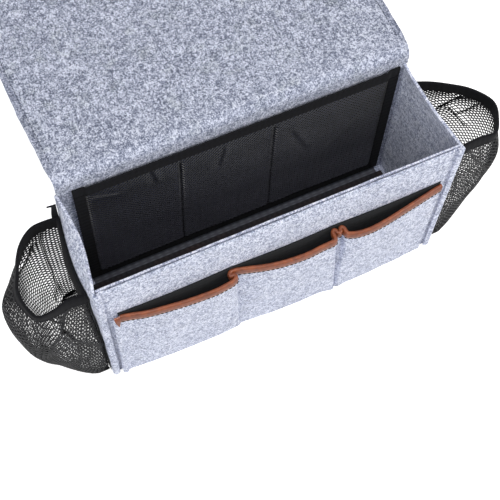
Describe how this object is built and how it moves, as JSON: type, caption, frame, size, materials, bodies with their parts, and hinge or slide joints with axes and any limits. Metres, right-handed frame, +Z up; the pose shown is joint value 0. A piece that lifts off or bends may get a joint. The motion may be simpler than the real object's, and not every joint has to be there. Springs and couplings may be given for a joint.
{
  "type": "bedside caddy",
  "caption": "Sewn felt box that hangs beside a bed by a long flap, with open front pockets, a mesh panel inside and a mesh bag on each side.",
  "frame": {"origin": "middle of the underside of the bottom panel", "axes": "+Z up, +X to the right along the front, +Y towards the bed, along the flap"},
  "size_m": [0.4751, 0.3697, 0.1999],
  "materials": {
    "felt_light": "matte needle felt, pale heather grey",
    "felt_flap": "matte needle felt, speckled heather grey",
    "trim_leather": "brown coated trim, satin",
    "black_mesh": "knitted nylon mesh, matte",
    "black_tape": "ribbed polyester binding tape",
    "black_lining": "plain woven lining cloth",
    "board": "pressed stiffener board"
  },
  "bodies": {
    "box": {"bottom_panel": "felt_light", "front_panel": "felt_light", "front_lining": "felt_light", "back_panel": "felt_light", "left_side_panel": "felt_light", "right_side_panel": "felt_light", "pocket_strip": "felt_light", "pocket_binding": "trim_leather", "pocket_backing": "black_lining", "mesh_panel": "black_mesh", "mesh_panel_top_binding": "black_tape", "mesh_panel_edge_tape": "black_tape", "left_mesh_bag": "black_mesh", "right_mesh_bag": "black_mesh", "left_bag_binding": "black_tape", "right_bag_binding": "black_tape"},
    "flap": {"flap_top_layer": "felt_flap", "flap_under_layer": "felt_flap"},
    "board": {"base_board": "board", "base_board_sleeve": "black_lining"}
  },
  "joints": [
    {"name": "flap_hinge", "type": "hinge", "parent": "box", "child": "flap", "pos_m": [0, 0.0523, 0.197], "axis": [1, 0, 0], "range_deg": [-90, 180]},
    {"name": "board_lift", "type": "slide", "parent": "box", "child": "board", "axis": [0, 0, 1], "range_m": [0, 0.18]}
  ]
}
